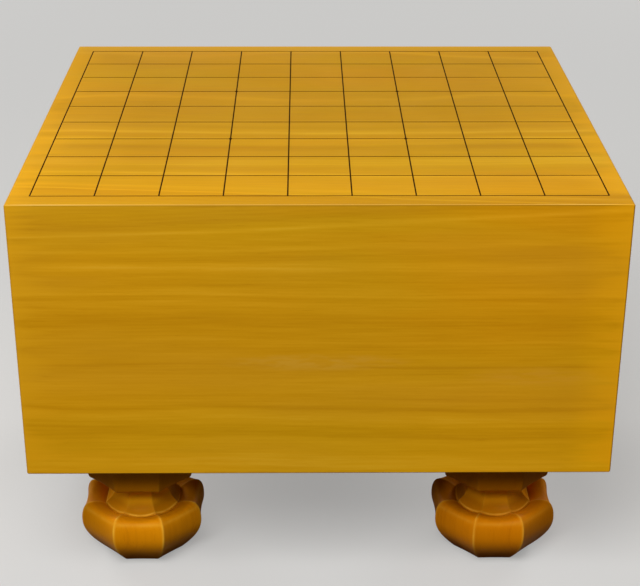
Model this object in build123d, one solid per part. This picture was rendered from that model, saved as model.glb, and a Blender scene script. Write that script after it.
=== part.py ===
from build123d import *
import os
from math import cos, radians

# Floor-standing shogi board: a solid wooden block on four carved legs, with a raised lacquer grid.
# Millimetres. The origin is on the floor under the centre of the block, +Z is up,
# +X runs along the grain and the files, from one player to the other, and +Y runs along the ranks.

# Block
BOARD_LENGTH = 364.0
BOARD_WIDTH = 333.0
BOARD_THICKNESS = 180.0
EDGE_CHAMFER = 0.8

# Square hollow under the middle of the block, cut as an upturned pyramid with a small flat end
HOLLOW_MOUTH = 72.0
HOLLOW_END = 12.0
HOLLOW_DEPTH = 22.0

# Grid of raised lacquer in three coats: files along X, ranks along Y over them, dots over both
SQUARES_PER_SIDE = 9
END_MARGIN = 12.8
SIDE_MARGIN = 14.4
LINE_WIDTH = 0.9
FILE_COAT = 0.12
RANK_COAT = 0.08
STAR_COAT = 0.06
STAR_DIAMETER = 2.2
STAR_SQUARES_IN = 3

# Leg, from the floor up: radii reach to the ridges, and each rise starts where the last one ends
LEG_FACES = 8
LEG_INSET = 64.0
FOOT_RADIUS = 27.5
BULB_RADIUS = 43.2
BULB_RISE = 26.0
CREST_INSET = 8.7
CREST_RISE = 12.4
GROOVE_INSET = 9.1
GROOVE_DEPTH = 3.8
WAIST_INSET = 5.4
WAIST_RISE = 12.4
COLLAR_SPREAD = 16.5
COLLAR_RISE = 10.5
SHOULDER_FLARE = 3.5
COLLAR_LENGTH = 32.5

# Round tenon on each leg, pushed into a blind socket in the block
TENON_RADIUS = 14.0
TENON_LENGTH = 30.0
TENON_CLEARANCE = 0.05
TENON_CHAMFER = 1.5
SOCKET_END_GAP = 2.0
SOCKET_CHAMFER = 0.8

CREST_RADIUS = BULB_RADIUS - CREST_INSET
GROOVE_RADIUS = CREST_RADIUS - GROOVE_INSET
WAIST_RADIUS = GROOVE_RADIUS - WAIST_INSET
COLLAR_RADIUS = WAIST_RADIUS + COLLAR_SPREAD
SHOULDER_RADIUS = COLLAR_RADIUS + SHOULDER_FLARE
CREST_HEIGHT = BULB_RISE + CREST_RISE
GROOVE_HEIGHT = CREST_HEIGHT - GROOVE_DEPTH
WAIST_HEIGHT = GROOVE_HEIGHT + WAIST_RISE
COLLAR_HEIGHT = WAIST_HEIGHT + COLLAR_RISE
LEG_HEIGHT = COLLAR_HEIGHT + COLLAR_LENGTH
FACE_TURN = 360 / LEG_FACES
FACE_RATIO = cos(radians(FACE_TURN / 2))

BOARD_BOTTOM = LEG_HEIGHT
BOARD_TOP = BOARD_BOTTOM + BOARD_THICKNESS
LEG_X = BOARD_LENGTH / 2 - LEG_INSET
LEG_Y = BOARD_WIDTH / 2 - LEG_INSET
SQUARE_LENGTH = (BOARD_LENGTH - 2 * END_MARGIN) / SQUARES_PER_SIDE
SQUARE_WIDTH = (BOARD_WIDTH - 2 * SIDE_MARGIN) / SQUARES_PER_SIDE

LEGS = {
    "leg_front_left": (-LEG_X, -LEG_Y),
    "leg_front_right": (LEG_X, -LEG_Y),
    "leg_rear_left": (-LEG_X, LEG_Y),
    "leg_rear_right": (LEG_X, LEG_Y),
}


def on_face(ridge_radius, height):
    """Outline point in the middle of a face, from the radius of the ridges beside it."""
    return (ridge_radius * FACE_RATIO, height)


def faceted_solid(outer_edges, bottom, top):
    """Solid with equal flat-cut faces round Z: where slabs of one outline, turned in steps, all meet."""
    half = make_face(outer_edges + [Line((0, top), (0, bottom))])
    outline = Plane.XZ * (half + mirror(half, Plane.YZ))
    slab = extrude(outline, amount=BULB_RADIUS + SHOULDER_RADIUS, both=True)
    solid = slab
    for step in range(1, LEG_FACES // 2):
        solid = solid & Rot(0, 0, step * FACE_TURN) * slab
    return solid


def bulb():
    """Swelling lower part, from the foot to the crest of its shoulder."""
    foot = on_face(FOOT_RADIUS, 0)
    widest = on_face(BULB_RADIUS, BULB_RISE)
    crest = on_face(CREST_RADIUS, CREST_HEIGHT)
    shoulder_centre = (crest[0], BULB_RISE)
    edges = [
        Line((0, 0), foot),
        Spline(foot, widest, tangents=[(1, 1), (0, 1)]),
        EllipticalCenterArc(shoulder_centre, widest[0] - crest[0], CREST_RISE, 0, arc_size=90),
        Line(crest, (0, CREST_HEIGHT)),
    ]
    return faceted_solid(edges, 0, CREST_HEIGHT)


def dish():
    """Bowl-shaped space inside the crest, down to the groove round the neck."""
    groove = on_face(GROOVE_RADIUS, GROOVE_HEIGHT)
    crest = on_face(CREST_RADIUS, CREST_HEIGHT)
    rim = (crest[0], CREST_HEIGHT + GROOVE_DEPTH)
    edges = [
        Line((0, GROOVE_HEIGHT), groove),
        TangentArc(crest, groove, tangent=(-1, 0)),
        Line(crest, rim),
        Line(rim, (0, rim[1])),
    ]
    return faceted_solid(edges, GROOVE_HEIGHT, rim[1])


def neck_and_collar():
    """Waisted neck that rises from the groove and spreads into the collar under the block."""
    groove = on_face(GROOVE_RADIUS, GROOVE_HEIGHT)
    waist = on_face(WAIST_RADIUS, WAIST_HEIGHT)
    collar = on_face(COLLAR_RADIUS, COLLAR_HEIGHT)
    shoulder = on_face(SHOULDER_RADIUS, LEG_HEIGHT)
    cove_centre = (collar[0], WAIST_HEIGHT)
    edges = [
        Line((0, GROOVE_HEIGHT), groove),
        TangentArc(waist, groove, tangent=(0, -1)),
        EllipticalCenterArc(cove_centre, collar[0] - waist[0], COLLAR_RISE, 90, arc_size=90),
        TangentArc(shoulder, collar, tangent=(0, -1)),
        Line(shoulder, (0, LEG_HEIGHT)),
    ]
    return faceted_solid(edges, GROOVE_HEIGHT, LEG_HEIGHT)


def tenon():
    """Round tenon with an eased end, rooted in the collar."""
    length = COLLAR_LENGTH + TENON_LENGTH
    peg = Pos(0, 0, COLLAR_HEIGHT) * extrude(Circle(TENON_RADIUS), amount=length)
    end = peg.edges().group_by(Axis.Z)[-1]
    return chamfer(end, TENON_CHAMFER)


def leg():
    """One leg, standing at the origin."""
    return bulb() - dish() + neck_and_collar() + tenon()


def socket():
    """Space of one tenon's blind socket, with its eased mouth, over the origin."""
    radius = TENON_RADIUS + TENON_CLEARANCE
    depth = TENON_LENGTH + SOCKET_END_GAP
    bore = Pos(0, 0, BOARD_BOTTOM) * extrude(Circle(radius), amount=depth)
    mouth = Pos(0, 0, BOARD_BOTTOM + SOCKET_CHAMFER / 2) * Cone(
        radius + SOCKET_CHAMFER, radius, SOCKET_CHAMFER
    )
    return bore + mouth


def underside_hollow():
    """Space of the hollow under the middle of the block."""
    mouth = Pos(0, 0, BOARD_BOTTOM) * Rectangle(HOLLOW_MOUTH, HOLLOW_MOUTH)
    end = Pos(0, 0, BOARD_BOTTOM + HOLLOW_DEPTH) * Rectangle(HOLLOW_END, HOLLOW_END)
    return loft([mouth, end])


def board_block():
    """Solid block with eased edges, four tenon sockets and the hollow in its underside."""
    middle = BOARD_BOTTOM + BOARD_THICKNESS / 2
    block = Pos(0, 0, middle) * Box(BOARD_LENGTH, BOARD_WIDTH, BOARD_THICKNESS)
    block = chamfer(block.edges(), EDGE_CHAMFER)
    for x, y in LEGS.values():
        block -= Pos(x, y, 0) * socket()
    return block - underside_hollow()


def line_places(pitch):
    """Places of the parallel lines across one direction, centred on the block."""
    half_span = SQUARES_PER_SIDE * pitch / 2
    return [number * pitch - half_span for number in range(SQUARES_PER_SIDE + 1)]


def on_top(length, width, height, x=0.0, y=0.0):
    """Flat bar of lacquer lying on the block's top."""
    return Pos(x, y, BOARD_TOP + height / 2) * Box(length, width, height)


def file_lines():
    """Lines along X, the first coat of the grid."""
    length = SQUARES_PER_SIDE * SQUARE_LENGTH + LINE_WIDTH
    return [on_top(length, LINE_WIDTH, FILE_COAT, y=y) for y in line_places(SQUARE_WIDTH)]


def rank_lines(files):
    """Lines along Y, laid over the files: each is notched where it passes over one."""
    length = SQUARES_PER_SIDE * SQUARE_WIDTH + LINE_WIDTH
    height = FILE_COAT + RANK_COAT
    bars = [on_top(LINE_WIDTH, length, height, x=x) for x in line_places(SQUARE_LENGTH)]
    return [bar - files for bar in bars]


def star_points(files, ranks):
    """Round dots over four crossings, each notched for the lines under it."""
    x_places = line_places(SQUARE_LENGTH)
    y_places = line_places(SQUARE_WIDTH)
    disc = extrude(Circle(STAR_DIAMETER / 2), amount=FILE_COAT + RANK_COAT + STAR_COAT)
    dots = []
    for i in (STAR_SQUARES_IN, SQUARES_PER_SIDE - STAR_SQUARES_IN):
        for j in (STAR_SQUARES_IN, SQUARES_PER_SIDE - STAR_SQUARES_IN):
            dot = Pos(x_places[i], y_places[j], BOARD_TOP) * disc
            dots.append(dot - files[j] - ranks[i])
    return dots


def numbered(name, solids):
    """Node names for repeated pieces, counted from one."""
    return {f"{name}_{number}": solid for number, solid in enumerate(solids, 1)}


one_leg = leg()
files = file_lines()
ranks = rank_lines(files)

nodes = {"board_block": board_block()}
nodes.update({name: Pos(x, y, 0) * one_leg for name, (x, y) in LEGS.items()})
nodes.update(numbered("file_line", files))
nodes.update(numbered("rank_line", ranks))
nodes.update(numbered("star_point", star_points(files, ranks)))

os.makedirs("parts", exist_ok=True)
for name, solid in nodes.items():
    export_step(solid, f"parts/{name}.step")
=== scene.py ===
import bpy
import bmesh
import math
from mathutils import Euler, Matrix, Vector, noise


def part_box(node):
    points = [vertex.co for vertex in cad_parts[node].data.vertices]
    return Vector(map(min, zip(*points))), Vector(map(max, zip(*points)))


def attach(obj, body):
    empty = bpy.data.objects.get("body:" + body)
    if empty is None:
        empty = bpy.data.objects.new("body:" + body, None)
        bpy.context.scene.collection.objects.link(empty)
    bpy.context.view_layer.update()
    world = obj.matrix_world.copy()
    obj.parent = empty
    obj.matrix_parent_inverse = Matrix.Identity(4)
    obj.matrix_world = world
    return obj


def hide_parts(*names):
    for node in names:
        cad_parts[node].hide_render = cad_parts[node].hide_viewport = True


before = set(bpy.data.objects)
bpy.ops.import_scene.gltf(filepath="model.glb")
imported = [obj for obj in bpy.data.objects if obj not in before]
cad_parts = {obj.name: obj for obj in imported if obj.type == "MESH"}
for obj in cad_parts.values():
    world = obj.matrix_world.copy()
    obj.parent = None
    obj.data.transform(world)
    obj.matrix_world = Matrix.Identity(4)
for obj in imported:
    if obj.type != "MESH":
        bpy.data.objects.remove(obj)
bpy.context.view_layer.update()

# Looks of a floor-standing shogi board. Metres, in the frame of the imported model:
# the origin is on the floor under the block's centre, X runs along the grain.
MM = 0.001

BLOCK_LOW, BLOCK_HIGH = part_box("board_block")
LEG_NAMES = ["leg_front_left", "leg_front_right", "leg_rear_left", "leg_rear_right"]
LINES_EACH_WAY = 10
STAR_COUNT = 4

# Camera, at the photograph's place and angle
CAMERA_PLACE = (-0.00998, -0.99146, 0.59539)
CAMERA_TURN_DEGREES = (65.199, -0.170, -0.618)
CAMERA_LENS_MM = 86.606
CAMERA_SENSOR_MM = 36.0

# Light: radiance that a white surface would send back from each source
WORLD_FILL = 0.10
WORLD_SEEN = 0.42
KEY_LEVEL = 1.22
KEY_DISTANCE = 1.4
KEY_SIZE = 0.82
KEY_AZIMUTH_DEGREES = -19.0
KEY_ELEVATION_DEGREES = 49.0
REAR_LEVEL = 0.46
REAR_DISTANCE = 3.8
REAR_SIZE = 1.55
REAR_AZIMUTHS_DEGREES = (-140.0, 140.0)
REAR_ELEVATION_DEGREES = 17.0
LAMP_TARGET = (0.0, -0.10, 0.16)

# Floor: its colour as the camera sees it, and the one that lights the object from below
FLOOR_SEEN = (0.33, 0.327, 0.320, 1.0)
FLOOR_BOUNCE = (0.06, 0.058, 0.055, 1.0)
FLOOR_ROUGHNESS = 0.9
FLOOR_SIZE = 30.0
FLOOR_DROP = 0.05 * MM

# Leg sizes: radii reach to the ridges, heights are from the floor
LEG_FACES = 8
LEG_HEIGHT = BLOCK_LOW.z
TENON_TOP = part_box(LEG_NAMES[0])[1].z
TENON_RADIUS = 14.0 * MM
TENON_CHAMFER = 1.5 * MM

# Stations of a leg's carved outline: ridge radius, height, then how far the middle
# of a face is scooped in and dipped down against a flat face
FOOT_CENTRE = (0.0, 0.0, 0.0, 0.0)
FOOT = (27.5 * MM, 0.0, 0.3 * MM, 0.0)
BULB = (43.2 * MM, 26.0 * MM, 1.2 * MM, 0.9 * MM)
CREST = (36.6 * MM, 38.0 * MM, 1.0 * MM, 2.0 * MM)
GROOVE = (26.2 * MM, 34.3 * MM, -0.4 * MM, 2.1 * MM)
LIP = (25.9 * MM, 35.6 * MM, -0.5 * MM, 2.1 * MM)
SKIRT = (24.2 * MM, 36.8 * MM, -0.3 * MM, 2.0 * MM)
WAIST = (19.2 * MM, 47.0 * MM, 0.7 * MM, 0.0)
COLLAR = (36.5 * MM, 56.6 * MM, 0.8 * MM, 0.0)
SHOULDER = (40.0 * MM, LEG_HEIGHT, 0.4 * MM, 0.0)
BULB_FULLNESS = 2.35
FOOT_EDGE_REACH = 1.0 * MM
GROOVE_REACH = 0.5 * MM
LIP_REACH = 0.5 * MM
COLLAR_EDGE_REACH = 2.4 * MM
CORNER_STEPS = 4
RIDGE_ROUNDING = 1.8 * MM
RIDGE_ROUNDED_FROM = 4 * RIDGE_ROUNDING
STEPS_PER_FACE = 20
SHARP_DEGREES = 42.0

# Marks of the knife; wear and painted highlights on the ridges and the lip, and a painted highlight
# along the edge of the petals
CARVING_WAVE = 0.14 * MM
CARVING_WAVES_PER_METRE = 55.0
RIDGE_WEAR_AND_HIGHLIGHT_WIDTH = 1.7 * MM
LIP_WEAR_AND_HIGHLIGHT_WIDTH = 1.1 * MM
RIDGE_WEAR_AND_HIGHLIGHT = 0.8
NECK_WEAR_AND_HIGHLIGHT = 0.25
PETAL_EDGE = (41.1 * MM, 35.4 * MM)
PETAL_HIGHLIGHT_WIDTH = 2.8 * MM
PETAL_HIGHLIGHT = 0.38

# Lacquer lines of the grid. The shares say where a bead has a section: round a crossing,
# between two crossings, and in the rounded ends
LINE_RIPPLE = 0.07
LINE_RIPPLES_PER_METRE = 90.0
SINGLE_COAT = 0.6
CROSSING_REACH = 1.1 * MM
CROSSING_SHARES = (-1.0, -0.62, -0.4, -0.2, 0.0, 0.2, 0.4, 0.62, 1.0)
BETWEEN_SHARES = (0.2, 0.35, 0.5, 0.65, 0.8)
END_SHARES = (0.05, 0.2, 0.5, 0.8)
LEAST_STEP = 0.02 * MM
LEAST_END = 0.03
BEAD_STEPS = 10

# Lacquer dots
DOT_SPREAD = 1.2
DOT_SIDES = 32
DOT_RINGS = 8
DOT_FLATNESS = 3.4
DOT_WOBBLE = 0.03
DOT_WOBBLES_PER_METRE = 90.0

# Growth rings of the block run round a line along X, under the block and towards its rear.
# Between two distances from it they lean more and more along the tree, up to a slope.
BLOCK_PITH_Y = 90.0 * MM
BLOCK_PITH_Z = -150.0 * MM
LEAN_FROM = 455 * MM
LEAN_TO = 487 * MM
LEAN_SLOPE = -0.048

# Layers of noise that bend the rings: waves to the metre along each axis, detail, and reach
BLOCK_BENDS = [
    ((2.2, 2.4, 3.0), 1.0, 15 * MM),
    ((9.0, 16.0, 16.0), 2.0, 3.5 * MM),
    ((26.0, 90.0, 90.0), 2.0, 0.7 * MM),
]
LEG_BENDS = [
    ((12.0, 12.0, 5.0), 1.0, 14 * MM),
    ((60.0, 60.0, 14.0), 2.0, 2.2 * MM),
]

# Layers of tone, with 0 dark and 1 pale: bands to the metre across the rings, or waves to the
# metre along each axis, and how strongly each layer shows
MIDDLE_TONE = 0.5
BLOCK_BROAD_BANDS = 52.0
BLOCK_BROAD_START = 1.37
BLOCK_BROAD_TONE = 0.34
BLOCK_FINE_BANDS = 430.0
BLOCK_FINE_TONE = 0.28
BLOCK_FIBRES = (20.0, 600.0, 600.0)
BLOCK_FIBRE_TONE = 0.46
BLOCK_PITS = (75.0, 1500.0, 1500.0)
BLOCK_PIT_TONE = -0.09
LEG_BROAD_BANDS = 120.0
LEG_BROAD_TONE = 0.40
LEG_FINE_BANDS = 620.0
LEG_FINE_TONE = 0.18
LEG_FIBRES = (820.0, 820.0, 22.0)
LEG_FIBRE_TONE = 0.24
LEG_PITS = (1600.0, 1600.0, 130.0)
LEG_PIT_TONE = -0.18

# Other layers of noise, in the same bands or waves to the metre: the block's, the legs', the lacquer's
SMUDGES = (14.0, 14.0, 14.0)
RING_PRESENCE = (3.0, 14.0, 14.0)
STREAK_BREAKS = (5.0, 20.0, 20.0)
HUE_DRIFT = (3.0, 13.0, 13.0)
DUSK = (3.5, 22.0, 22.0)
CLOUD_MOTTLE = (95.0, 520.0, 520.0)
END_PORES = (40.0, 900.0, 900.0)
HANDLING = (60.0, 60.0, 60.0)
HANDLED_PATCHES = (11.0, 11.0, 11.0)
PALE_END_BANDS = 95.0
PLANING = (4.0, 55.0, 4.0)
RUBBING_AND_HIGHLIGHT = (140.0, 140.0, 140.0)
LEG_CLOUDS = (45.0, 45.0, 30.0)
KNIFE_CUTS = (70.0, 70.0, 30.0)
LACQUER_POOLS = (160.0, 160.0, 160.0)
LACQUER_SKIN = (900.0, 900.0, 900.0)

# Streaks that stand out on the front face: height there, half width, and strength, dark below zero
FRONT_STREAKS = [
    (262 * MM, 5.0 * MM, -0.10),
    (254.7 * MM, 1.9 * MM, 0.28),
    (241 * MM, 1.6 * MM, 0.14),
    (235 * MM, 2.4 * MM, -0.08),
    (228 * MM, 4.0 * MM, 0.24),
    (217 * MM, 3.0 * MM, -0.14),
    (211 * MM, 1.2 * MM, 0.14),
    (205 * MM, 1.6 * MM, 0.14),
    (190 * MM, 9.0 * MM, -0.08),
    (181 * MM, 1.0 * MM, 0.10),
    (165 * MM, 1.3 * MM, -0.18),
    (153 * MM, 8.0 * MM, 0.14),
    (136 * MM, 2.0 * MM, -0.20),
    (128 * MM, 6.0 * MM, 0.22),
    (113 * MM, 6.0 * MM, 0.18),
    (101 * MM, 9.0 * MM, 0.22),
]

# Streaks that show on top only: place along Y there, half width, and strength
TOP_STREAKS = [
    (-149 * MM, 0.8 * MM, 0.42),
    (-113 * MM, 1.6 * MM, 0.30),
    (-96 * MM, 1.0 * MM, 0.12),
    (-66 * MM, 3.0 * MM, -0.16),
    (-38 * MM, 1.2 * MM, 0.26),
    (-27 * MM, 1.8 * MM, -0.12),
    (34 * MM, 0.7 * MM, 0.16),
]

# Cloudy patches on the front face, paler figure that is partly a painted sheen: middle along X, height,
# half length, half height, strength
CLOUDS = [
    (-2 * MM, 168 * MM, 66 * MM, 7 * MM, 0.62),
    (132 * MM, 158 * MM, 50 * MM, 8 * MM, 0.42),
]
CLOUD_DEPTH = 9 * MM

# The top and the front are fully themselves up to one distance from their plane, and end at another
FACE_FULL = 0.6 * MM
FACE_END = 1.2 * MM

# Two bands along the eased top edge, measured down from the top: start, full, still full, end. The upper
# band is a painted glint and the lower band is painted shade
EDGE_GLINT_BAND = (0.02 * MM, 0.06 * MM, 0.26 * MM, 0.36 * MM)
EDGE_SHADE_BAND = (0.22 * MM, 0.40 * MM, 0.78 * MM, 0.90 * MM)

# Where the block's marks lie. A pair is where a mark starts to grow and is full, or is full and
# ends. The two reaches go from the least to the greatest, since those marks end unevenly.
GLINT_ENDS = (105 * MM, 165 * MM)
HANDLED_REACH = (0.8 * MM, 3.2 * MM)
PALE_END_START = -6 * MM
PALE_END_REACH = (5 * MM, 26 * MM)
REAR_RIM_WIDTH = 22 * MM
FRONT_RIM_RUN = (-120 * MM, 170 * MM)
FRONT_RIM = (-154 * MM, -147 * MM)
PLAYED_INSET = (4 * MM, 70 * MM)
FRONT_WARMING = (0.0, 120 * MM)
FRONT_LOW_HEIGHT = 90 * MM
FRONT_END = (148 * MM, 172 * MM)
SOCKET_WALL = (15.2 * MM, 15.6 * MM)
SOCKET_END = (TENON_TOP + 3 * MM, TENON_TOP + 4 * MM)
PRINT_RADIUS = 37.5 * MM
PRINT_WIDTH = 2.0 * MM
PRINT_DEPTH = 0.3 * MM

# Where the legs' marks lie, in the same way: heights, then distances from the leg's axis
SOLE_EDGE = (0.1 * MM, 1.2 * MM)
LOWER_BULB = (1 * MM, 19 * MM)
HOLLOW_FLOOR = (30 * MM, 33 * MM)
HOLLOW_TOP = (40 * MM, 44 * MM)
NECK_RISE = (37 * MM, 42 * MM)
NECK_TOP = (52 * MM, 56 * MM)
SHELTER = (WAIST[1] + 3 * MM, COLLAR[1] + 10 * MM)
TENON_FOOT = (LEG_HEIGHT - 0.05 * MM, LEG_HEIGHT + 0.05 * MM)
NECK_SIDE = (LIP[0], LIP[0] + 1 * MM)
HOLLOW_INSIDE = (LIP[0] - 1.2 * MM, LIP[0])
HOLLOW_OUTSIDE = (33 * MM, 37.5 * MM)

# Legs on the left and on the right differ, and this is where along X the change lies
PLANK_CHANGE = (-50 * MM, 50 * MM)

# How much of the wood each mark covers
DUSK_SHARE = 0.34
EDGE_SHADE_SHARE = 0.9
EDGE_GLINT_SHARES = (0.40, 0.9)
HANDLED_SHARE = 0.45
PALE_END_SHARE = 0.95
REAR_RIM_SHARE = 0.6
FRONT_RIM_SHARES = (0.30, 0.75)
PLAYED_SHARE = 0.62
SOCKET_BARE_SHARE = 0.6
LEG_PRINT_SHARE = 0.35
NECK_LIGHT_AND_SHADE_SHARE = 0.75
HOLLOW_SHADE_SHARE = 0.42
SHELTERED_SHADE_SHARE = 0.50
TENON_BARE_SHARE = 0.65
SOLE_SHARE = 0.5
NEAR_FLOOR_SHADE_SHARE = 0.86

# Depth of the relief in each surface, and its middle roughness
PLANING_DEPTH = 0.10 * MM
BLOCK_GRAIN_DEPTH = 0.055 * MM
KNIFE_CUT_DEPTH = 0.20 * MM
LEG_GRAIN_DEPTH = 0.05 * MM
LACQUER_SKIN_DEPTH = 0.01 * MM
BLOCK_ROUGHNESS = 0.44
LEG_ROUGHNESS = 0.41
LACQUER_ROUGHNESS = 0.58

# Height above the top at which the lacquer counts as thick
THICK_LACQUER = 0.10 * MM

# Wood of the block: tones from dark to pale, then its other colours. Linear red, green and blue.
BLOCK_TONES = [
    (0.0, (0.420, 0.178, 0.0025)),
    (0.32, (0.540, 0.256, 0.0036)),
    (0.5, (0.602, 0.296, 0.0052)),
    (0.68, (0.660, 0.333, 0.0085)),
    (1.0, (0.770, 0.432, 0.028)),
]
DUSKY = (0.545, 0.258, 0.016)
CLOUD_SHEEN = (0.630, 0.315, 0.022)
HANDLED_DARK = (0.420, 0.185, 0.005)
HANDLED_PALE = (0.620, 0.310, 0.014)
# Painted shade and painted glint on the eased top edge
EDGE_PAINTED_SHADE = (0.365, 0.180, 0.0035)
EDGE_PAINTED_GLINT = (0.920, 0.600, 0.150)
PALE_END = (0.705, 0.338, 0.0080)
FRESH_REAR_RIM = (0.735, 0.405, 0.026)
SOCKET_BARE = (0.66, 0.40, 0.13)
LEG_PRINT = (0.36, 0.15, 0.004)

# Tints are factors for red, green and blue
BLACK = (0.0, 0.0, 0.0)
ORANGE_TINT = (1.030, 0.965, 0.90)
GREENISH_TINT = (0.980, 1.025, 1.00)
END_GRAIN_TINT = (1.0, 0.97, 0.95)
FRONT_RIM_TINT = (0.76, 0.74, 0.70)
PLAYED_TINT = (0.800, 0.790, 0.600)
# Painted light on the front face: darker on the left, lighter and warmer on the right and at the right
# end, lighter at the bottom
FRONT_LEFT_TINT = (0.950, 0.960, 1.0)
FRONT_RIGHT_TINT = (1.045, 0.985, 0.87)
FRONT_LOW_TINT = (1.080, 1.050, 0.80)
FRONT_END_TINT = (1.095, 1.095, 0.85)
RIGHT_LEG_TINT = (0.90, 0.80, 0.75)

# Wood of the legs
LEG_TONES = [
    (0.0, (0.500, 0.148, 0.0008)),
    (0.35, (0.675, 0.222, 0.0011)),
    (0.5, (0.745, 0.258, 0.0015)),
    (0.7, (0.795, 0.292, 0.0026)),
    (1.0, (0.850, 0.350, 0.0090)),
]
# Painted shade low on the neck, and painted light towards its top
NECK_PAINTED_SHADE = (0.560, 0.222, 0.002)
NECK_PAINTED_LIGHT = (0.920, 0.435, 0.006)
# Colour of the wear and painted highlights on the ridges, the lip and the petals' edge
RUBBED_AND_HIGHLIGHT = (0.960, 0.500, 0.040)
# Painted shade in the hollow round the neck
HOLLOW_PAINTED_SHADE = (0.420, 0.135, 0.001)
# Painted shade under the block
SHELTERED_SHADE = (0.40, 0.125, 0.0015)
TENON_BARE = (0.64, 0.36, 0.11)
SOLE = (0.33, 0.12, 0.006)
# Painted shade low on the bulb, near the floor
NEAR_FLOOR_SHADE = (0.190, 0.040, 0.0004)

LACQUER_TONES = [
    (0.15, (0.058, 0.015, 0.0010)),
    (0.5, (0.032, 0.007, 0.0008)),
    (0.9, (0.018, 0.004, 0.0006)),
]

# Strength and colour of the reflections
WOOD_SPECULAR = 0.045
BLOCK_SPECULAR_TINT = (1.0, 0.82, 0.45, 1.0)
LEG_SPECULAR_TINT = (1.0, 0.80, 0.45, 1.0)
LACQUER_SPECULAR = 0.016


def middle_of(node):
    """Middle of the box round a node."""
    low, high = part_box(node)
    return (low + high) / 2


LEG_PLACE = middle_of("leg_rear_right")


def even_noise(probe):
    """Smooth noise at a place, from 0 to 1."""
    return 0.5 + 0.5 * noise.noise(probe)


def along(points, reach):
    """Splits a polyline at a distance from its first point: the point there, then the rest."""
    travelled = 0.0
    for number in range(1, len(points)):
        last, this = points[number - 1], points[number]
        step = math.hypot(this[0] - last[0], this[1] - last[1])
        if travelled + step > reach:
            share = (reach - travelled) / step
            cut = tuple(a + (b - a) * share for a, b in zip(last, this))
            return [cut] + points[number:]
        travelled += step
    return points[-1:]


def weighted(weights, points, count):
    """Sum of points by their weights, for the first numbers of each point."""
    return tuple(sum(w * p[k] for w, p in zip(weights, points)) for k in range(count))


def rounded(before, after, reach):
    """Joins two stretches of outline that meet at a corner, with the corner rounded."""
    first = along(before[::-1], reach)[::-1]
    second = along(after, reach)
    corners = (first[-1], after[0], second[0])
    turn = []
    for step in range(1, CORNER_STEPS):
        t = step / CORNER_STEPS
        turn.append(weighted(((1 - t) ** 2, 2 * t * (1 - t), t * t), corners, 4))
    return first + turn + second


def eased(start, end, t):
    """Scoop and dip on the way from one station to the next."""
    s = t * t * (3 - 2 * t)
    return tuple(start[k] + (end[k] - start[k]) * s for k in (2, 3))


def straight(start, end, steps):
    """Stations on a straight stretch, both ends included."""
    shares = [step / steps for step in range(steps + 1)]
    return [tuple(a + (b - a) * share for a, b in zip(start, end)) for share in shares]


def swell(start, end, steps):
    """Cubic stretch that leaves start outwards at 45 degrees and reaches end upright."""
    third = math.hypot(end[0] - start[0], end[1] - start[1]) / 3
    slant = third * math.sqrt(0.5)
    corners = (start, (start[0] + slant, start[1] + slant), (end[0], end[1] - third), end)
    points = []
    for step in range(steps + 1):
        t = step / steps
        weights = ((1 - t) ** 3, 3 * t * (1 - t) ** 2, 3 * t * t * (1 - t), t ** 3)
        points.append(weighted(weights, corners, 2) + eased(start, end, t))
    return points


def quarter_ellipse(start, end, steps, fullness=2.0):
    """Quarter of an ellipse that leaves start upright and reaches end level: over 2 it is fuller."""
    power = 2 / fullness
    points = []
    for step in range(steps + 1):
        angle = math.pi / 2 * step / steps
        radius = end[0] + (start[0] - end[0]) * max(math.cos(angle), 0.0) ** power
        height = start[1] + (end[1] - start[1]) * math.sin(angle) ** power
        points.append((radius, height) + eased(start, end, step / steps))
    return points


def tangent_arc(start, way, end, steps):
    """Arc of a circle that leaves start in the given direction and passes through end."""
    chord = Vector((end[0] - start[0], end[1] - start[1]))
    heading = Vector(way).normalized()
    half_turn = heading.angle_signed(chord)
    points = []
    for step in range(steps + 1):
        t = step / steps
        length = chord.length * math.sin(half_turn * t) / math.sin(half_turn)
        turn = -half_turn * t
        x = heading.x * math.cos(turn) - heading.y * math.sin(turn)
        y = heading.x * math.sin(turn) + heading.y * math.cos(turn)
        points.append((start[0] + length * x, start[1] + length * y) + eased(start, end, t))
    return points


def leg_outline():
    """Stations up one leg: its carved part, the seat round the tenon, and the round tenon."""
    bottom = straight(FOOT_CENTRE, FOOT, steps=6)
    bulb = swell(FOOT, BULB, steps=18)
    bulb += quarter_ellipse(BULB, CREST, steps=18, fullness=BULB_FULLNESS)[1:]
    bulb += tangent_arc(CREST, (-1, 0), GROOVE, steps=10)[1:]
    lip = straight(GROOVE, LIP, steps=3)
    skirt = straight(LIP, SKIRT, steps=3)
    neck = skirt + tangent_arc(WAIST, (0, -1), SKIRT, steps=12)[-2::-1]
    neck += quarter_ellipse(WAIST, COLLAR, steps=16)[1:]
    collar = tangent_arc(SHOULDER, (0, -1), COLLAR, steps=8)[::-1]
    carved = rounded(bottom, bulb, FOOT_EDGE_REACH)
    carved = rounded(carved, lip, GROOVE_REACH)
    carved = rounded(carved, neck, LIP_REACH)
    carved = rounded(carved, collar, COLLAR_EDGE_REACH)
    tenon_root = (TENON_RADIUS, LEG_HEIGHT, 0.0, 0.0)
    tenon_side = (TENON_RADIUS, TENON_TOP - TENON_CHAMFER, 0.0, 0.0)
    tenon_rim = (TENON_RADIUS - TENON_CHAMFER, TENON_TOP, 0.0, 0.0)
    tenon_centre = (0.0, TENON_TOP, 0.0, 0.0)
    seat = straight(SHOULDER, tenon_root, steps=4)[1:]
    tenon = straight(tenon_root, tenon_side, steps=3)[1:]
    tenon += straight(tenon_rim, tenon_centre, steps=3)[:-1]
    return carved[1:], seat, tenon


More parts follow.
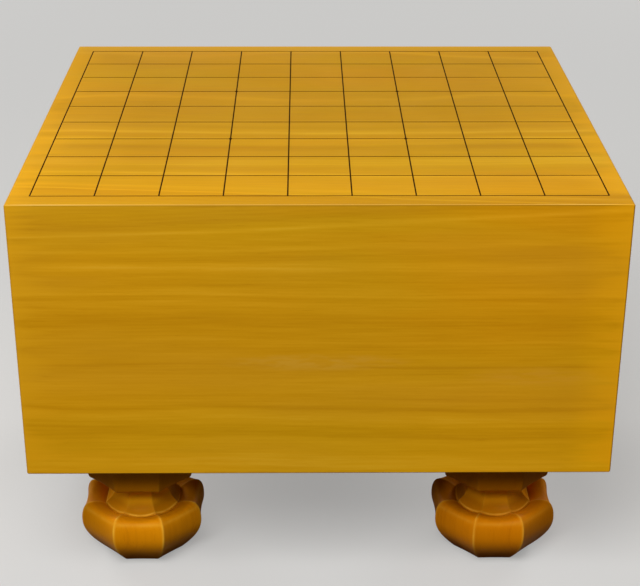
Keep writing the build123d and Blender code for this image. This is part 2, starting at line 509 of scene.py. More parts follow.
def carved_ring(station, faceting):
    """Places round Z at one station, as flat or scooped faces with softened ridges, and the wear and
    painted highlight on those ridges.
    """
    radius, height, scoop, dip = station
    half_face = math.pi / LEG_FACES
    half_width = radius * math.sin(half_face)
    tangent_length = RIDGE_ROUNDING * math.tan(half_face)
    places = []
    for face in range(LEG_FACES):
        facing = 2 * half_face * face
        for step in range(STEPS_PER_FACE):
            across = math.sin(math.pi * (step / STEPS_PER_FACE - 0.5))
            bow = 1 - across * across
            lateral = across * half_width
            to_ridge = half_width - abs(lateral)
            depth = radius * math.cos(half_face) - scoop * bow
            if to_ridge < tangent_length and radius > RIDGE_ROUNDED_FROM:
                gap = tangent_length - to_ridge
                depth -= RIDGE_ROUNDING - math.sqrt(RIDGE_ROUNDING ** 2 - gap ** 2)
            flat = Vector((lateral, -depth, height - dip * bow))
            angle = 2 * half_face * (face + step / STEPS_PER_FACE - 0.5)
            circle = Vector((radius * math.sin(angle), -radius * math.cos(angle), height))
            flat.rotate(Euler((0, 0, facing)))
            place = circle.lerp(flat, faceting)
            # Ridges are painted paler, partly wear and partly painted highlight, less on the neck
            wear = max(0.0, 1 - to_ridge / RIDGE_WEAR_AND_HIGHLIGHT_WIDTH) * faceting * RIDGE_WEAR_AND_HIGHLIGHT
            if radius < LIP[0] or height > CREST[1]:
                wear *= NECK_WEAR_AND_HIGHLIGHT
            places.append((place, wear))
    return places


def closeness(station, place, width):
    """One at a place on the leg's outline, falling to zero at a distance from it."""
    distance = math.hypot(station[0] - place[0], station[1] - place[1])
    return max(0.0, 1 - distance / width)


def carved_leg(name, middle):
    """One leg as a single carved piece with its tenon, standing at its place under the block."""
    carved, seat, tenon = leg_outline()
    stations = [(station, 1.0, True) for station in carved]
    for number, station in enumerate(seat, 1):
        stations.append((station, 1 - number / len(seat), False))
    stations += [(station, 0.0, False) for station in tenon]
    points = [Vector((middle.x, middle.y, 0.0))]
    wears = [0.0]
    for station, faceting, wavy in stations:
        # The lip is painted paler, partly wear and partly painted highlight; the petals' edge gets a
        # painted highlight
        lip_wear_and_highlight = closeness(station, LIP, LIP_WEAR_AND_HIGHLIGHT_WIDTH)
        petal_highlight = closeness(station, PETAL_EDGE, PETAL_HIGHLIGHT_WIDTH) * PETAL_HIGHLIGHT
        for place, wear in carved_ring(station, faceting):
            if wavy and 0 < station[1] < LEG_HEIGHT:
                probe = (place + middle) * CARVING_WAVES_PER_METRE
                outward = Vector((place.x, place.y, 0.0)).normalized()
                place -= outward * CARVING_WAVE * even_noise(probe)
            points.append(place + middle)
            wears.append(max(wear, lip_wear_and_highlight, petal_highlight))
    points.append(Vector((middle.x, middle.y, TENON_TOP)))
    wears.append(0.0)

    around = LEG_FACES * STEPS_PER_FACE
    top = 1 + (len(stations) - 1) * around
    faces = []
    for step in range(around):
        after = (step + 1) % around
        faces.append((0, 1 + after, 1 + step))
        for low in range(1, top, around):
            high = low + around
            faces.append((low + step, low + after, high + after, high + step))
        faces.append((top + step, top + after, len(points) - 1))
    return closed_piece(name, points, faces, wears)


def closed_piece(name, points, faces, wears=None):
    """Object from a closed mesh, shaded smooth but for its sharp edges."""
    mesh = bpy.data.meshes.new(name)
    mesh.from_pydata([tuple(point) for point in points], [], faces)
    if wears:
        wear = mesh.attributes.new("edge_wear_and_highlight", "FLOAT", "POINT")
        wear.data.foreach_set("value", wears)
    shaped = bmesh.new()
    shaped.from_mesh(mesh)
    bmesh.ops.recalc_face_normals(shaped, faces=shaped.faces)
    shaped.to_mesh(mesh)
    shaped.free()
    mesh.shade_smooth()
    mesh.set_sharp_from_angle(angle=math.radians(SHARP_DEGREES))
    piece = bpy.data.objects.new(name, mesh)
    bpy.context.scene.collection.objects.link(piece)
    return piece


def bead_places(start, end, half_width, crossings):
    """Places of a bead's sections along it, closer together at its ends and at the crossings."""
    places = {start, end}
    for crossing in crossings:
        for share in CROSSING_SHARES:
            places.add(min(max(crossing + share * CROSSING_REACH, start), end))
    for first, second in zip(crossings, crossings[1:]):
        for share in BETWEEN_SHARES:
            places.add(first + (second - first) * share)
    for share in END_SHARES:
        places.add(start + share * half_width)
        places.add(end - share * half_width)
    places = sorted(places)
    return [place for place, after in zip(places, places[1:]) if after - place > LEAST_STEP] + [end]


def lacquer_bead(name, node, run, crossings, height, single_height):
    """Raised stroke of lacquer in a node's place, thicker where it crosses the lines under it."""
    low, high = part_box(node)
    across = 1 - run
    middle = (low[across] + high[across]) / 2
    half_width = (high[across] - low[across]) / 2
    start, end = low[run], high[run]
    places = bead_places(start, end, half_width, crossings)

    points = []
    for place in places:
        from_end = min(place - start, end - place)
        rounding = 1.0
        if from_end < half_width:
            rounding = math.sqrt(max(1 - (1 - from_end / half_width) ** 2, LEAST_END ** 2))
        probe = Vector((middle, place, 0.0)) * LINE_RIPPLES_PER_METRE
        ripple = 1 - LINE_RIPPLE * even_noise(probe)
        nearest = min(abs(place - crossing) for crossing in crossings)
        lift = max(0.0, 1 - nearest / CROSSING_REACH)
        lift = lift * lift * (3 - 2 * lift)
        crest = (single_height + (height - single_height) * lift) * ripple * rounding
        for step in range(BEAD_STEPS + 1):
            side = 2 * step / BEAD_STEPS - 1
            point = [0.0, 0.0, low.z + crest * (1 - side * side)]
            point[run] = place
            point[across] = middle + side * half_width * rounding * ripple
            points.append(Vector(point))

    row = BEAD_STEPS + 1
    last = (len(places) - 1) * row
    faces = []
    for this in range(0, last, row):
        following = this + row
        for step in range(BEAD_STEPS):
            faces.append((this + step, this + step + 1, following + step + 1, following + step))
        faces.append((this + BEAD_STEPS, this, following, following + BEAD_STEPS))
    faces.append(tuple(range(row)))
    faces.append(tuple(last + step for step in reversed(range(row))))
    return closed_piece(name, points, faces)


def lacquer_dot(name, node):
    """Round drop of lacquer over a crossing."""
    low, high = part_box(node)
    middle = (low + high) / 2
    radius = (high.x - low.x) / 2 * DOT_SPREAD
    places_on_noise = (middle.x * DOT_WOBBLES_PER_METRE, middle.y * DOT_WOBBLES_PER_METRE)
    points = [Vector((middle.x, middle.y, high.z))]
    for ring in range(1, DOT_RINGS + 1):
        share = ring / DOT_RINGS
        height = low.z + (high.z - low.z) * (1 - share ** DOT_FLATNESS)
        for step in range(DOT_SIDES):
            angle = 2 * math.pi * step / DOT_SIDES
            wobble = 1 - DOT_WOBBLE * even_noise(Vector((angle, *places_on_noise)))
            reach = radius * share * wobble
            x = middle.x + reach * math.cos(angle)
            y = middle.y + reach * math.sin(angle)
            points.append(Vector((x, y, height)))
    rim = 1 + (DOT_RINGS - 1) * DOT_SIDES
    faces = []
    for step in range(DOT_SIDES):
        after = (step + 1) % DOT_SIDES
        faces.append((0, 1 + step, 1 + after))
        for inner in range(1, rim, DOT_SIDES):
            outer = inner + DOT_SIDES
            faces.append((inner + step, outer + step, outer + after, inner + after))
    faces.append(tuple(rim + step for step in reversed(range(DOT_SIDES))))
    return closed_piece(name, points, faces)


class Graph:
    """Nodes of one material, so that a finish reads as a list of steps."""

    def __init__(self, name):
        self.material = bpy.data.materials.new(name)
        self.material.use_nodes = True
        self.tree = self.material.node_tree
        self.shader = self.tree.nodes["Principled BSDF"]
        self.place = self.node("ShaderNodeTexCoord").outputs["Object"]

    def put(self, socket, value):
        """Links a value from another node, or sets a plain number or colour."""
        if isinstance(value, bpy.types.NodeSocket):
            self.tree.links.new(value, socket)
        elif socket.type == "RGBA":
            socket.default_value = (*value, 1.0)
        else:
            socket.default_value = value

    def node(self, kind, **settings):
        """New node with some of its settings."""
        made = self.tree.nodes.new(kind)
        for key, value in settings.items():
            setattr(made, key, value)
        return made

    def maths(self, operation, first, second=0.0):
        """One sum on one or two values."""
        made = self.node("ShaderNodeMath", operation=operation)
        for socket, value in zip(made.inputs, (first, second)):
            self.put(socket, value)
        return made.outputs[0]

    def chain(self, operation, values):
        """The same operation through a list of values."""
        result = values[0]
        for value in values[1:]:
            result = self.maths(operation, result, value)
        return result

    def total(self, *values):
        """Values added up."""
        return self.chain("ADD", values)

    def product(self, *values):
        """Values multiplied."""
        return self.chain("MULTIPLY", values)

    def gap(self, value, middle):
        """Distance from a value to a middle one."""
        return self.maths("ABSOLUTE", self.maths("SUBTRACT", value, middle))

    def squares(self, *values):
        """Sum of the squares."""
        return self.total(*(self.maths("POWER", value, 2.0) for value in values))

    def length(self, *values):
        """Length of a vector with these parts."""
        return self.maths("SQRT", self.squares(*values))

    def split(self, vector):
        """Three parts of a vector."""
        made = self.node("ShaderNodeSeparateXYZ")
        self.put(made.inputs[0], vector)
        return made.outputs

    def noise(self, per_metre, detail=2.0, roughness=0.5, distortion=0.0):
        """Noise with its own number of waves to the metre along each axis."""
        scaled = self.node("ShaderNodeVectorMath", operation="MULTIPLY")
        self.put(scaled.inputs[0], self.place)
        scaled.inputs[1].default_value = per_metre
        made = self.node("ShaderNodeTexNoise")
        self.put(made.inputs["Vector"], scaled.outputs[0])
        made.inputs["Scale"].default_value = 1.0
        made.inputs["Detail"].default_value = detail
        made.inputs["Roughness"].default_value = roughness
        made.inputs["Distortion"].default_value = distortion
        return made.outputs[0]

    def noise_on(self, value, per_metre, detail=2.0, roughness=0.5, start=0.0):
        """Noise along one value, such as the distance across the growth rings."""
        made = self.node("ShaderNodeTexNoise", noise_dimensions="1D")
        self.put(made.inputs["W"], self.maths("ADD", value, start))
        made.inputs["Scale"].default_value = per_metre
        made.inputs["Detail"].default_value = detail
        made.inputs["Roughness"].default_value = roughness
        return made.outputs[0]

    def spread(self, value, low, high, to_low=0.0, to_high=1.0, smooth=True):
        """Value between two bounds, mapped to two others and held there."""
        made = self.node("ShaderNodeMapRange", clamp=True)
        made.interpolation_type = "SMOOTHSTEP" if smooth else "LINEAR"
        for socket, item in zip(made.inputs, (value, low, high, to_low, to_high)):
            self.put(socket, item)
        return made.outputs[0]

    def fade(self, value, low, high, strength=1.0, smooth=True):
        """Full strength up to one bound, and nothing from the other on."""
        return self.spread(value, low, high, strength, 0.0, smooth)

    def band(self, value, start, full, still_full, end):
        """One within a band, falling to zero on both sides of it."""
        return self.product(self.spread(value, start, full), self.fade(value, still_full, end))

    def around_zero(self, value, strength):
        """Noise turned into a plus or minus amount."""
        return self.product(self.maths("SUBTRACT", value, 0.5), strength)

    def mix(self, share, first, second, blend="MIX"):
        """Blend of two colours, by a share."""
        made = self.node("ShaderNodeMix", data_type="RGBA", blend_type=blend)
        self.put(made.inputs[0], share)
        self.put(made.inputs[6], first)
        self.put(made.inputs[7], second)
        return made.outputs[2]

    def tint(self, share, colour, factors):
        """Colour multiplied by a tint, by a share."""
        return self.mix(share, colour, factors, "MULTIPLY")

    def ramp(self, value, stops):
        """Colour that follows a value through a list of stops."""
        made = self.node("ShaderNodeValToRGB")
        self.put(made.inputs[0], value)
        elements = made.color_ramp.elements
        while len(elements) < len(stops):
            elements.new(0.5)
        for element, (position, colour) in zip(elements, stops):
            element.position = position
            element.color = (*colour, 1.0)
        return made.outputs[0]

    def bump(self, height, distance, under=None):
        """Relief of a given depth, over another relief if there is one."""
        made = self.node("ShaderNodeBump")
        made.inputs["Strength"].default_value = 1.0
        made.inputs["Distance"].default_value = distance
        self.put(made.inputs["Height"], height)
        if under is not None:
            self.put(made.inputs["Normal"], under)
        return made.outputs[0]

    def finish(self, colour, roughness, normal, specular):
        """Connects the shader and hands back the material."""
        self.put(self.shader.inputs["Base Color"], colour)
        self.put(self.shader.inputs["Roughness"], roughness)
        self.put(self.shader.inputs["Normal"], normal)
        self.shader.inputs["Specular IOR Level"].default_value = specular
        return self.material


def front_ring(height):
    """Distance from the pith of the ring that shows at this height on the block's front face."""
    return math.hypot(BLOCK_LOW.y - BLOCK_PITH_Y, height - BLOCK_PITH_Z)


def top_ring(place):
    """Distance from the pith of the ring that shows at this place along Y on the block's top."""
    return math.hypot(place - BLOCK_PITH_Y, BLOCK_HIGH.z - BLOCK_PITH_Z)


def from_leg_axis(g, x, y):
    """Distance from the upright axis of the nearest leg."""
    off_x = g.maths("SUBTRACT", g.maths("ABSOLUTE", x), LEG_PLACE.x)
    off_y = g.maths("SUBTRACT", g.maths("ABSOLUTE", y), LEG_PLACE.y)
    return g.length(off_x, off_y)


def bent(g, ring, bends):
    """Distance across the growth rings, bent by layers of noise."""
    for per_metre, detail, reach in bends:
        ring = g.total(ring, g.around_zero(g.noise(per_metre, detail=detail), reach))
    return ring


def block_rings(g, x, y, z):
    """Distance across the rings of the block, bent a little on its way along the tree."""
    to_pith = g.maths("SUBTRACT", y, BLOCK_PITH_Y)
    above_pith = g.maths("SUBTRACT", z, BLOCK_PITH_Z)
    ring = g.length(to_pith, above_pith)
    lean = g.product(x, g.spread(ring, LEAN_FROM, LEAN_TO, 0.0, LEAN_SLOPE))
    return bent(g, g.total(ring, lean), BLOCK_BENDS)


def with_streaks(g, tone, ring, streaks, presence):
    """Tone with streaks along some rings: distance from the pith, half width and strength."""
    for distance, half_width, strength in streaks:
        streak = g.fade(g.gap(ring, distance), 0.0, half_width, strength)
        tone = g.total(tone, g.product(streak, presence))
    return tone


def with_drift(g, colour, x, y, z):
    """Block's colour with a slow drift of hue, dusky places, and cloudy patches in the front face, paler
    figure that is partly a painted sheen.
    """
    drift = g.spread(g.noise(HUE_DRIFT, detail=3.0, distortion=0.4), 0.32, 0.68)
    colour = g.mix(drift, g.tint(1.0, colour, ORANGE_TINT), g.tint(1.0, colour, GREENISH_TINT))
    dusk = g.spread(g.noise(DUSK, detail=3.0), 0.45, 0.72, 0.0, DUSK_SHARE)
    colour = g.mix(dusk, colour, DUSKY)
    mottle = g.spread(g.noise(CLOUD_MOTTLE), 0.36, 0.64)
    for middle_x, middle_z, half_length, half_height, strength in CLOUDS:
        away_x = g.maths("DIVIDE", g.maths("SUBTRACT", x, middle_x), half_length)
        away_y = g.maths("DIVIDE", g.maths("SUBTRACT", y, BLOCK_LOW.y), CLOUD_DEPTH)
        away_z = g.maths("DIVIDE", g.maths("SUBTRACT", z, middle_z), half_height)
        cloud = g.fade(g.squares(away_x, away_y, away_z), 0.0, 1.0, strength)
        colour = g.mix(g.product(cloud, g.total(0.35, mottle)), colour, CLOUD_SHEEN)
    return colour


def block_margins(g, x, y, z):
    """Distances to the ends, the sides, and the top or bottom of the block, and to its nearest edge."""
    margins = []
    for value, low, high in zip((x, y, z), BLOCK_LOW, BLOCK_HIGH):
        margins.append(g.maths("SUBTRACT", (high - low) / 2, g.gap(value, (low + high) / 2)))
    others = g.total(g.chain("MINIMUM", margins), g.chain("MAXIMUM", margins))
    return margins, g.maths("SUBTRACT", g.total(*margins), others)


def with_painted_edge_light(g, colour, x, z):
    """Block's colour with a painted glint along the upper part of its eased top edge, and painted shade
    below it.
    """
    under_top = g.maths("SUBTRACT", BLOCK_HIGH.z, z)
    edge_shade = g.product(g.band(under_top, *EDGE_SHADE_BAND), EDGE_SHADE_SHARE)
    colour = g.mix(edge_shade, colour, EDGE_PAINTED_SHADE)
    near_ends = g.spread(g.maths("ABSOLUTE", x), *GLINT_ENDS, *EDGE_GLINT_SHARES)
    edge_glint = g.product(g.band(under_top, *EDGE_GLINT_BAND), near_ends)
    return g.mix(edge_glint, colour, EDGE_PAINTED_GLINT)


def front_tint(g, x, z):
    """Painted light on the front face, evening out the lamp on the left: warmer and lighter towards the
    right and at the right end; also lighter at the bottom.
    """
    tint = g.mix(g.spread(x, *FRONT_WARMING), FRONT_LEFT_TINT, FRONT_RIGHT_TINT)
    low_down = g.fade(z, BLOCK_LOW.z, BLOCK_LOW.z + FRONT_LOW_HEIGHT)
    tint = g.tint(low_down, tint, FRONT_LOW_TINT)
    return g.tint(g.spread(x, *FRONT_END), tint, FRONT_END_TINT)


def block_wood():
    """Old gold softwood, planed and waxed, with quiet growth rings and slightly darker end grain."""
    g = Graph("block_wood")
    x, y, z = g.split(g.place)
    ring = block_rings(g, x, y, z)
    on_top = g.spread(z, BLOCK_HIGH.z - FACE_END, BLOCK_HIGH.z - FACE_FULL)
    on_front = g.fade(y, BLOCK_LOW.y + FACE_FULL, BLOCK_LOW.y + FACE_END)
    smudge = g.noise(SMUDGES, detail=3.0, roughness=0.6, distortion=0.6)

    # Bands: broad tones, fine growth rings that come and go, and the streaks that stand out
    broad = g.noise_on(ring, BLOCK_BROAD_BANDS, start=BLOCK_BROAD_START)
    broad = g.around_zero(broad, BLOCK_BROAD_TONE)
    fine = g.noise_on(ring, BLOCK_FINE_BANDS, detail=3.0, roughness=0.62)
    presence = g.spread(g.noise(RING_PRESENCE, detail=1.0), 0.35, 0.65, 0.45, 1.0)
    fine = g.product(g.around_zero(fine, BLOCK_FINE_TONE), presence)
    tone = g.total(MIDDLE_TONE, broad, fine)
    breaks = g.spread(g.noise(STREAK_BREAKS, detail=1.0), 0.32, 0.62, 0.35, 1.0)
    front_streaks = [(front_ring(height), *rest) for height, *rest in FRONT_STREAKS]
    top_streaks = [(top_ring(place), *rest) for place, *rest in TOP_STREAKS]
    tone = with_streaks(g, tone, ring, front_streaks, breaks)
    tone = with_streaks(g, tone, ring, top_streaks, g.product(breaks, on_top))

    # Fibres along the tree, and short dark pits between them
    fibres = g.noise(BLOCK_FIBRES, detail=3.0, roughness=0.62)
    pits = g.spread(g.noise(BLOCK_PITS, detail=1.0), 0.66, 0.76, 0.0, BLOCK_PIT_TONE)
    tone = g.total(tone, g.around_zero(fibres, BLOCK_FIBRE_TONE), pits)
    colour = with_drift(g, g.ramp(tone, BLOCK_TONES), x, y, z)

    # End grain drinks in more wax and is a little darker
    facing = g.split(g.node("ShaderNodeTexCoord").outputs["Normal"])
    end_grain = g.spread(g.maths("ABSOLUTE", facing[0]), 0.75, 0.95)
    pores = g.noise(END_PORES, roughness=0.7)
    end_tone = g.total(fine, broad, g.around_zero(pores, 0.3))
    end_tone = g.spread(end_tone, -0.22, 0.22, 0.66, 0.98, smooth=False)
    colour = g.tint(end_grain, colour, g.mix(end_tone, BLACK, END_GRAIN_TINT))

    # Edges are marked by handling, some darker and some paler
    margins, to_edge = block_margins(g, x, y, z)
    handling = g.noise(HANDLING, detail=3.0, roughness=0.6)
    worn_reach = g.spread(handling, 0.3, 0.7, *HANDLED_REACH)
    worn = g.fade(to_edge, 0.0, worn_reach, HANDLED_SHARE)
    patchy = g.spread(g.noise(HANDLED_PATCHES), 0.42, 0.60)
    colour = g.mix(worn, colour, g.mix(patchy, HANDLED_DARK, HANDLED_PALE))
    # Painted glint and painted shade along the eased top edge
    colour = with_painted_edge_light(g, colour, x, z)

    # The wood is paler near the ends, further in on some rings than on others, and at the rear rim
    pale_end_reach = g.noise_on(ring, PALE_END_BANDS, detail=3.0, roughness=0.6)
    pale_end_reach = g.spread(pale_end_reach, 0.34, 0.66, *PALE_END_REACH)
    pale_end = g.fade(margins[0], PALE_END_START, pale_end_reach, PALE_END_SHARE, smooth=False)
    colour = g.mix(pale_end, colour, PALE_END)
    from_rear = g.maths("SUBTRACT", BLOCK_HIGH.y, y)
    rear_rim = g.fade(from_rear, 0.0, REAR_RIM_WIDTH, REAR_RIM_SHARE, smooth=False)
    colour = g.mix(g.product(rear_rim, on_top), colour, FRESH_REAR_RIM)

    # A darker band of growth comes up along the front rim of the top, towards the right
    to_right = g.spread(x, *FRONT_RIM_RUN, *FRONT_RIM_SHARES, smooth=False)
    front_rim = g.fade(y, *FRONT_RIM)
    colour = g.tint(g.product(to_right, front_rim, on_top), colour, FRONT_RIM_TINT)

    # The middle of the top has darkened a little under play
    inwards = g.maths("MINIMUM", margins[0], margins[1])
    played = g.spread(inwards, *PLAYED_INSET, 0.0, PLAYED_SHARE, smooth=False)
    colour = g.tint(g.product(played, on_top, g.total(0.5, smudge)), colour, PLAYED_TINT)

    # Painted light across the front face
    colour = g.tint(on_front, colour, front_tint(g, x, z))

    # Bare wood in the tenon sockets, and a faint print of each leg round them
    from_leg = from_leg_axis(g, x, y)
    bare = g.product(g.fade(from_leg, *SOCKET_WALL), g.fade(z, *SOCKET_END))
    colour = g.mix(g.product(bare, SOCKET_BARE_SHARE), colour, SOCKET_BARE)
    print_line = g.fade(g.gap(from_leg, PRINT_RADIUS), 0.0, PRINT_WIDTH, LEG_PRINT_SHARE)
    underside = g.fade(z, LEG_HEIGHT, LEG_HEIGHT + PRINT_DEPTH)
    colour = g.mix(g.product(print_line, underside), colour, LEG_PRINT)

    roughness = g.total(
        BLOCK_ROUGHNESS,
        g.around_zero(smudge, 0.14),
        g.around_zero(fibres, 0.16),
        g.product(worn, -0.12),
        g.product(end_grain, 0.10),
        g.product(bare, 0.25),
    )
    planing = g.bump(g.noise(PLANING, detail=0.0), PLANING_DEPTH)
    relief = g.total(g.product(fibres, 0.7), g.product(pits, 1.5), fine)
    g.shader.inputs["Specular Tint"].default_value = BLOCK_SPECULAR_TINT
    normal = g.bump(relief, BLOCK_GRAIN_DEPTH, under=planing)
    return g.finish(colour, roughness, normal, WOOD_SPECULAR)


def leg_wood():
    """Denser, redder wood of the legs, carved, rubbed smooth and waxed; its grain stands upright."""
    g = Graph("leg_wood")
    x, y, z = g.split(g.place)
    ring = bent(g, g.length(x, y), LEG_BENDS)
    broad = g.around_zero(g.noise_on(ring, LEG_BROAD_BANDS), LEG_BROAD_TONE)
    fine = g.around_zero(g.noise_on(ring, LEG_FINE_BANDS, detail=3.0, roughness=0.6), LEG_FINE_TONE)
    fibres = g.noise(LEG_FIBRES, detail=3.0, roughness=0.6)
    pits = g.spread(g.noise(LEG_PITS, detail=1.0), 0.66, 0.77, 0.0, LEG_PIT_TONE)
    tone = g.total(MIDDLE_TONE, broad, fine, g.around_zero(fibres, LEG_FIBRE_TONE), pits)
    colour = g.ramp(tone, LEG_TONES)

    # Painted light and shade on the neck: darker low down and paler towards its top. The ridges and the
    # lip are painted paler still, partly wear and partly painted highlight
    radius = from_leg_axis(g, x, y)
    neck = g.product(g.fade(radius, *NECK_SIDE, NECK_LIGHT_AND_SHADE_SHARE), g.fade(z, *NECK_TOP))
    colour = g.mix(neck, colour, g.mix(g.spread(z, *NECK_RISE), NECK_PAINTED_SHADE, NECK_PAINTED_LIGHT))
    # Wear and painted highlights on the ridges and the lip, and a painted highlight along the petals'
    # edge
    wear = g.node("ShaderNodeAttribute", attribute_name="edge_wear_and_highlight").outputs["Fac"]
    rubbing_and_highlight = g.spread(g.noise(RUBBING_AND_HIGHLIGHT, detail=3.0), 0.3, 0.7, 0.55, 1.0)
    worn = g.product(g.spread(wear, 0.0, 1.0), rubbing_and_highlight)
    colour = g.mix(worn, colour, RUBBED_AND_HIGHLIGHT)

    # Painted shade in the hollow between the lip and the petals' rounded edges
    across_hollow = g.product(g.spread(radius, *HOLLOW_INSIDE), g.fade(radius, *HOLLOW_OUTSIDE))
    up_hollow = g.product(g.spread(z, *HOLLOW_FLOOR), g.fade(z, *HOLLOW_TOP))
    hollow_shade = g.product(across_hollow, up_hollow, HOLLOW_SHADE_SHARE)
    colour = g.mix(hollow_shade, colour, HOLLOW_PAINTED_SHADE)

    # Painted shade: up towards the block the wood is painted darker, in clouds
    clouds = g.noise(LEG_CLOUDS, detail=3.0, roughness=0.6)
    cloudy = g.total(0.5, clouds)
    sheltered_shade = g.spread(z, *SHELTER, 0.0, SHELTERED_SHADE_SHARE)
    colour = g.mix(g.product(sheltered_shade, cloudy), colour, SHELTERED_SHADE)

    # Each leg comes from its own plank, so those on the right are a little darker and redder
    colour = g.tint(g.spread(x, *PLANK_CHANGE), colour, RIGHT_LEG_TINT)

    # The tenon is bare, the sole is dark, and the lower bulb is painted darker towards the floor, a
    # painted shade
    bare = g.spread(z, *TENON_FOOT)
    colour = g.mix(g.product(bare, TENON_BARE_SHARE), colour, TENON_BARE)
    sole = g.fade(z, *SOLE_EDGE, SOLE_SHARE)
    colour = g.mix(sole, colour, SOLE)
    floor_shade = g.product(g.fade(z, *LOWER_BULB, NEAR_FLOOR_SHADE_SHARE), cloudy)
    colour = g.mix(floor_shade, colour, NEAR_FLOOR_SHADE)

    roughness = g.total(
        LEG_ROUGHNESS,
        g.around_zero(clouds, 0.20),
        g.around_zero(fibres, 0.12),
        g.product(worn, -0.08),
        g.product(bare, 0.28),
        g.product(sole, 0.30),
        g.product(sheltered_shade, 0.60),
        g.product(floor_shade, 0.40),
    )
    cuts = g.bump(g.noise(KNIFE_CUTS, detail=1.0), KNIFE_CUT_DEPTH)
    relief = g.total(g.product(fibres, 0.8), g.product(pits, 1.5))
    g.shader.inputs["Specular Tint"].default_value = LEG_SPECULAR_TINT
    normal = g.bump(relief, LEG_GRAIN_DEPTH, under=cuts)
    return g.finish(colour, roughness, normal, WOOD_SPECULAR)


def lacquer():
    """Black-brown lacquer, nearly matte, browner where it thins out."""
    g = Graph("grid_lacquer")
    pooled = g.noise(LACQUER_POOLS, detail=3.0, roughness=0.6)
    skin = g.noise(LACQUER_SKIN)
    height = g.split(g.place)[2]
    thickness = g.spread(height, BLOCK_HIGH.z, BLOCK_HIGH.z + THICK_LACQUER)
    colour = g.ramp(g.total(g.product(thickness, 0.6), g.product(pooled, 0.5)), LACQUER_TONES)
    roughness = g.total(LACQUER_ROUGHNESS, g.around_zero(pooled, 0.24), g.around_zero(skin, 0.10))
    return g.finish(colour, roughness, g.bump(skin, LACQUER_SKIN_DEPTH), LACQUER_SPECULAR)


def dress_legs():
    """Carved legs in place of the plain ones."""
    wood = leg_wood()
    for leg_name in LEG_NAMES:
        centre = middle_of(leg_name)
        leg = carved_leg(f"{leg_name}_carved", Vector((centre.x, centre.y, 0.0)))
        leg.data.materials.append(wood)
        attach(leg, leg_name)
        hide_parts(leg_name)


def dress_grid():
    """Rounded strokes and drops of lacquer in place of the plain bars and discs."""
    file_nodes = [f"file_line_{number}" for number in range(1, LINES_EACH_WAY + 1)]
    rank_nodes = [f"rank_line_{number}" for number in range(1, LINES_EACH_WAY + 1)]
    star_nodes = [f"star_point_{number}" for number in range(1, STAR_COUNT + 1)]
    file_places = [middle_of(node).y for node in file_nodes]
    rank_places = [middle_of(node).x for node in rank_nodes]
    file_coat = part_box(file_nodes[0])[1].z - BLOCK_HIGH.z
    rank_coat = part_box(rank_nodes[0])[1].z - BLOCK_HIGH.z
    rank_alone = rank_coat * SINGLE_COAT

    strokes = {}
    for node in file_nodes:
        strokes[node] = lacquer_bead(f"{node}_lacquer", node, 0, rank_places, file_coat, file_coat)
    for node in rank_nodes:
        strokes[node] = lacquer_bead(f"{node}_lacquer", node, 1, file_places, rank_coat, rank_alone)
    for node in star_nodes:
        strokes[node] = lacquer_dot(f"{node}_lacquer", node)
    black = lacquer()
    for node, stroke in strokes.items():
        stroke.data.materials.append(black)
        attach(stroke, "board")
        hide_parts(node)


def seen_directly(nodes, links):
    """One where a ray comes from the camera, a mirror or glass, and zero where it gathers soft light."""
    path = nodes.new("ShaderNodeLightPath")
    result = path.outputs["Is Camera Ray"]
    for name in ("Is Glossy Ray", "Is Transmission Ray"):
        either = nodes.new("ShaderNodeMath")
        either.operation = "MAXIMUM"
        links.new(result, either.inputs[0])
        links.new(path.outputs[name], either.inputs[1])
        result = either.outputs[0]
    return result


def pale_floor():
    """Plain pale floor that keeps the shadows and sends little light back up."""
    half = FLOOR_SIZE / 2
    corners = ((-half, -half), (half, -half), (half, half), (-half, half))
    mesh = bpy.data.meshes.new("floor")
    mesh.from_pydata([(x, y, -FLOOR_DROP) for x, y in corners], [], [(0, 1, 2, 3)])
    floor = bpy.data.objects.new("floor", mesh)
    bpy.context.scene.collection.objects.link(floor)
    material = bpy.data.materials.new("pale_floor")
    material.use_nodes = True
    nodes, links = material.node_tree.nodes, material.node_tree.links
    shader = nodes["Principled BSDF"]
    shader.inputs["Roughness"].default_value = FLOOR_ROUGHNESS
    shader.inputs["Specular IOR Level"].default_value = 0.0
    shader.inputs["Emission Color"].default_value = FLOOR_SEEN
    mix = nodes.new("ShaderNodeMix")
    mix.data_type = "RGBA"
    mix.inputs[6].default_value = FLOOR_BOUNCE
    mix.inputs[7].default_value = FLOOR_SEEN
    links.new(seen_directly(nodes, links), mix.inputs[0])
    links.new(mix.outputs[2], shader.inputs["Base Color"])
    seen_by_camera = nodes.new("ShaderNodeLightPath").outputs["Is Camera Ray"]
    links.new(seen_by_camera, shader.inputs["Emission Strength"])
    mesh.materials.append(material)


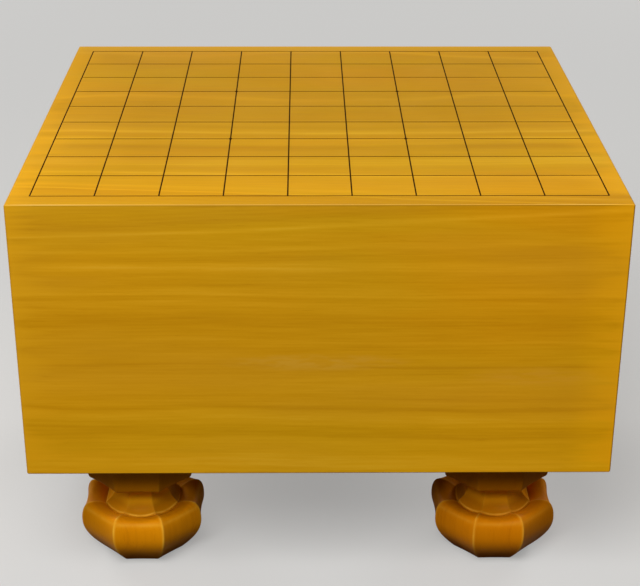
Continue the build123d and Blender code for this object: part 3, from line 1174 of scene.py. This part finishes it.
def soft_lamp(name, level, distance, size, azimuth_degrees, elevation_degrees):
    """Large square lamp that faces the object; azimuth counts from the front, to the right."""
    lamp = bpy.data.lights.new(name, "AREA")
    lamp.shape = "SQUARE"
    lamp.size = size
    lamp.energy = level * math.pi ** 2 * distance ** 2
    light = bpy.data.objects.new(name, lamp)
    azimuth = math.radians(azimuth_degrees)
    elevation = math.radians(elevation_degrees)
    out = math.cos(elevation)
    back = Vector((math.sin(azimuth) * out, -math.cos(azimuth) * out, math.sin(elevation)))
    light.location = Vector(LAMP_TARGET) + back * distance
    light.rotation_euler = back.to_track_quat("Z", "Y").to_euler()
    bpy.context.scene.collection.objects.link(light)
    return light


def soft_light():
    """Even pale surroundings, one large soft lamp in front, and two low dim ones behind."""
    world = bpy.data.worlds.new("studio")
    bpy.context.scene.world = world
    world.use_nodes = True
    nodes, links = world.node_tree.nodes, world.node_tree.links
    strength = nodes.new("ShaderNodeMapRange")
    strength.inputs["To Min"].default_value = WORLD_FILL
    strength.inputs["To Max"].default_value = WORLD_SEEN
    links.new(seen_directly(nodes, links), strength.inputs["Value"])
    links.new(strength.outputs[0], nodes["Background"].inputs["Strength"])
    nodes["Background"].inputs["Color"].default_value = (1.0, 1.0, 1.0, 1.0)

    soft_lamp("key", KEY_LEVEL, KEY_DISTANCE, KEY_SIZE, KEY_AZIMUTH_DEGREES, KEY_ELEVATION_DEGREES)
    for number, azimuth in enumerate(REAR_AZIMUTHS_DEGREES, 1):
        name = f"rear_{number}"
        rear = soft_lamp(name, REAR_LEVEL, REAR_DISTANCE, REAR_SIZE, azimuth, REAR_ELEVATION_DEGREES)
        rear.visible_glossy = False


def photo_camera():
    """Camera that frames the board as the photograph does."""
    lens = bpy.data.cameras.new("camera")
    lens.sensor_fit = "HORIZONTAL"
    lens.sensor_width = CAMERA_SENSOR_MM
    lens.lens = CAMERA_LENS_MM
    camera = bpy.data.objects.new("camera", lens)
    camera.location = CAMERA_PLACE
    camera.rotation_euler = [math.radians(angle) for angle in CAMERA_TURN_DEGREES]
    bpy.context.scene.collection.objects.link(camera)
    bpy.context.scene.camera = camera


solid_wood = block_wood()
for material_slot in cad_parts["board_block"].material_slots:
    material_slot.material = solid_wood
dress_legs()
dress_grid()

pale_floor()
soft_light()
photo_camera()
bpy.context.scene.view_settings.view_transform = "Standard"
